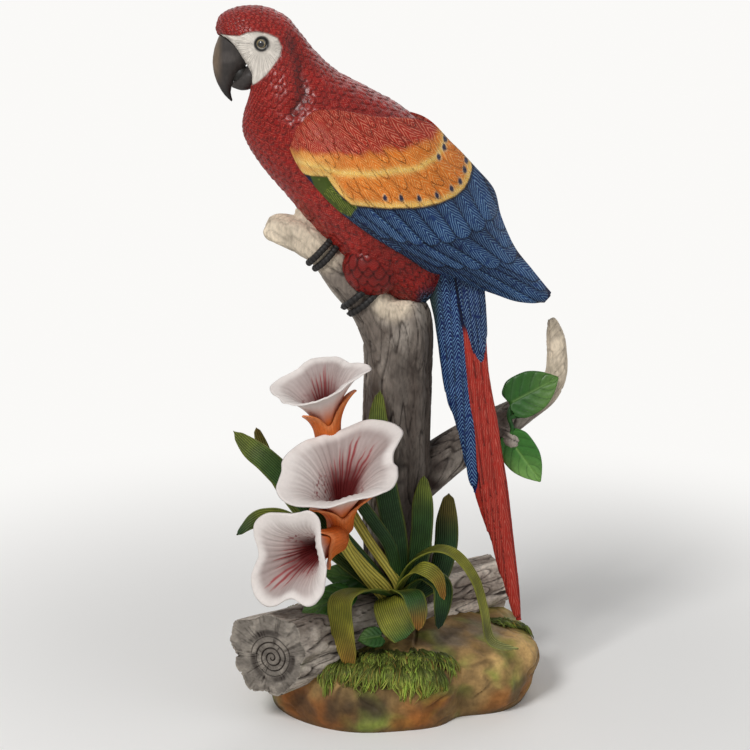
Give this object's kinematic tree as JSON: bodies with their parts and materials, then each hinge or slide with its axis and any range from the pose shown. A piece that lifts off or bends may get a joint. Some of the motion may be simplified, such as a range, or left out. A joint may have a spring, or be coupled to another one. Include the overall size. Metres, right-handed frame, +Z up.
{
  "type": "parrot figurine",
  "caption": "Figurine of a long-tailed macaw perched on a weathered tree stump above lilies and strap leaves, on an oval earth base.",
  "frame": {"origin": "on the flat underside of the ground, below the stump", "axes": "+Z up; the bird looks along -X; the front of the figure, with the lilies, faces -Y"},
  "size_m": [0.2084, 0.1682, 0.4154],
  "materials": {
    "earth": "matte hand-painted glaze, brown earth shading to moss green",
    "weathered_wood": "matte hand-painted glaze, grey weathered wood with dark furrows",
    "red_plumage": "satin hand-painted glaze, scarlet feathers with a white bare face and a black beak",
    "blue_plumage": "satin hand-painted glaze, red shoulder, yellow band and blue flight feathers",
    "tail_plumage": "satin hand-painted glaze, blue outer and red central tail feathers",
    "black_toes": "satin black glaze",
    "petal": "matte white bisque with rose veins",
    "sepal": "matte orange glaze",
    "stalk": "matte yellow-green glaze",
    "strap_leaf": "matte green glaze, brown towards the tips",
    "heart_leaf": "satin green glaze"
  },
  "bodies": {
    "root": {"ground": "earth", "fallen_log": "weathered_wood", "stump": "weathered_wood", "side_branch": "weathered_wood", "macaw_body": "red_plumage", "macaw_tail": "tail_plumage", "macaw_left_wing": "blue_plumage", "macaw_right_wing": "blue_plumage", "macaw_left_foot": "black_toes", "macaw_right_foot": "black_toes", "leaf_crown": "strap_leaf", "lily_middle_bloom": "petal", "lily_middle_calyx": "sepal", "lily_middle_stem": "stalk", "lily_top_bloom": "petal", "lily_top_calyx": "sepal", "lily_top_stem": "stalk", "lily_low_bloom": "petal", "lily_low_calyx": "sepal", "lily_low_stem": "stalk", "strap_leaf_tall_left": "strap_leaf", "strap_leaf_brown": "strap_leaf", "strap_leaf_left_tip": "strap_leaf", "strap_leaf_centre": "strap_leaf", "strap_leaf_grey": "strap_leaf", "strap_leaf_right": "strap_leaf", "strap_leaf_dark": "strap_leaf", "strap_leaf_arching": "strap_leaf", "strap_leaf_short_curl": "strap_leaf", "strap_leaf_front_left": "strap_leaf", "strap_leaf_front_broad": "strap_leaf", "strap_leaf_front_folded": "strap_leaf", "strap_leaf_drooping": "strap_leaf", "heart_leaf_upper": "heart_leaf", "heart_leaf_lower": "heart_leaf", "ground_leaf_left": "heart_leaf", "ground_leaf_round": "heart_leaf", "ground_leaf_dark": "heart_leaf", "vine_stem": "stalk"}
  },
  "joints": []
}
